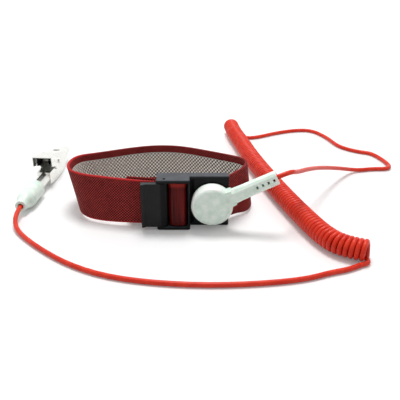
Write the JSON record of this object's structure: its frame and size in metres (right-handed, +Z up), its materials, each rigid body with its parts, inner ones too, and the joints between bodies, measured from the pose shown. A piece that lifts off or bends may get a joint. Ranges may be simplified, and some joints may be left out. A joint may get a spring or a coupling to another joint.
{
  "type": "esd wrist strap",
  "caption": "Antistatic wrist strap: dark red elastic band with a black cam-lever clasp, a pale snap connector, a red curly ground cord and a banana plug with an alligator clip.",
  "frame": {"origin": "middle of the clasp's lower face, on the surface that the strap stands on", "axes": "+X along the clasp towards the riveted end of the band, +Y from the clasp into the wrist loop, +Z up"},
  "size_m": [0.1793, 0.1716, 0.0258],
  "materials": {
    "webbing": "woven, dark red",
    "lining": "grey conductive knit",
    "black_plastic": "satin moulding",
    "lever_plastic": "satin moulding",
    "steel": "stainless",
    "nickel": "plated",
    "white_plastic": "pale moulding",
    "cord_jacket": "red cord jacket",
    "brass": "plated pin",
    "resistor_body": "lacquered"
  },
  "bodies": {
    "wristband": {"band_webbing": "webbing", "band_lining": "lining", "clasp_frame": "black_plastic", "contact_plate": "steel", "snap_stud": "nickel", "stud_rivet": "nickel", "lever_pin": "steel"},
    "lever": {"clasp_lever": "lever_plastic"},
    "cord_set": {"lead_connector_side": "cord_jacket", "curly_cord": "cord_jacket", "lead_clip_side": "cord_jacket", "plug_boot": "white_plastic", "banana_pin": "brass", "banana_leaves": "brass"},
    "connector": {"connector_shell": "white_plastic", "connector_cap": "white_plastic", "snap_socket": "nickel", "snap_spring": "steel", "resistor": "resistor_body"},
    "clip": {"clip_lower_jaw": "nickel", "clip_pivot_pin": "steel", "clip_spring": "steel"},
    "clip_jaw": {"clip_upper_jaw": "nickel"}
  },
  "joints": [
    {"name": "clasp_lever_hinge", "type": "hinge", "parent": "wristband", "child": "lever", "pos_m": [-0.01155, -0.0023, 0.011], "axis": [0, 0, 1], "range_deg": [0, 80]},
    {"name": "snap_release", "type": "slide", "parent": "wristband", "child": "cord_set", "axis": [0, -1, 0], "range_m": [0, 0.01], "deforming": ["snap_spring"]},
    {"name": "snap_swivel", "type": "hinge", "parent": "cord_set", "child": "connector", "pos_m": [0.0078, -0.0001, 0.011], "axis": [0, -1, 0], "range_deg": [-140, 86], "deforming": ["lead_connector_side"]},
    {"name": "clip_release", "type": "slide", "parent": "cord_set", "child": "clip", "axis": [0.0819, 0.9966, 0], "range_m": [0, 0.02]},
    {"name": "clip_jaw_open", "type": "hinge", "parent": "clip", "child": "clip_jaw", "pos_m": [-0.07059, 0.0532, 0.0086], "axis": [0.9966, -0.0819, 0], "range_deg": [0, 25], "stiffness_Nm_per_rad": 0.02, "springref_deg": -28.65, "deforming": ["clip_spring"]}
  ]
}
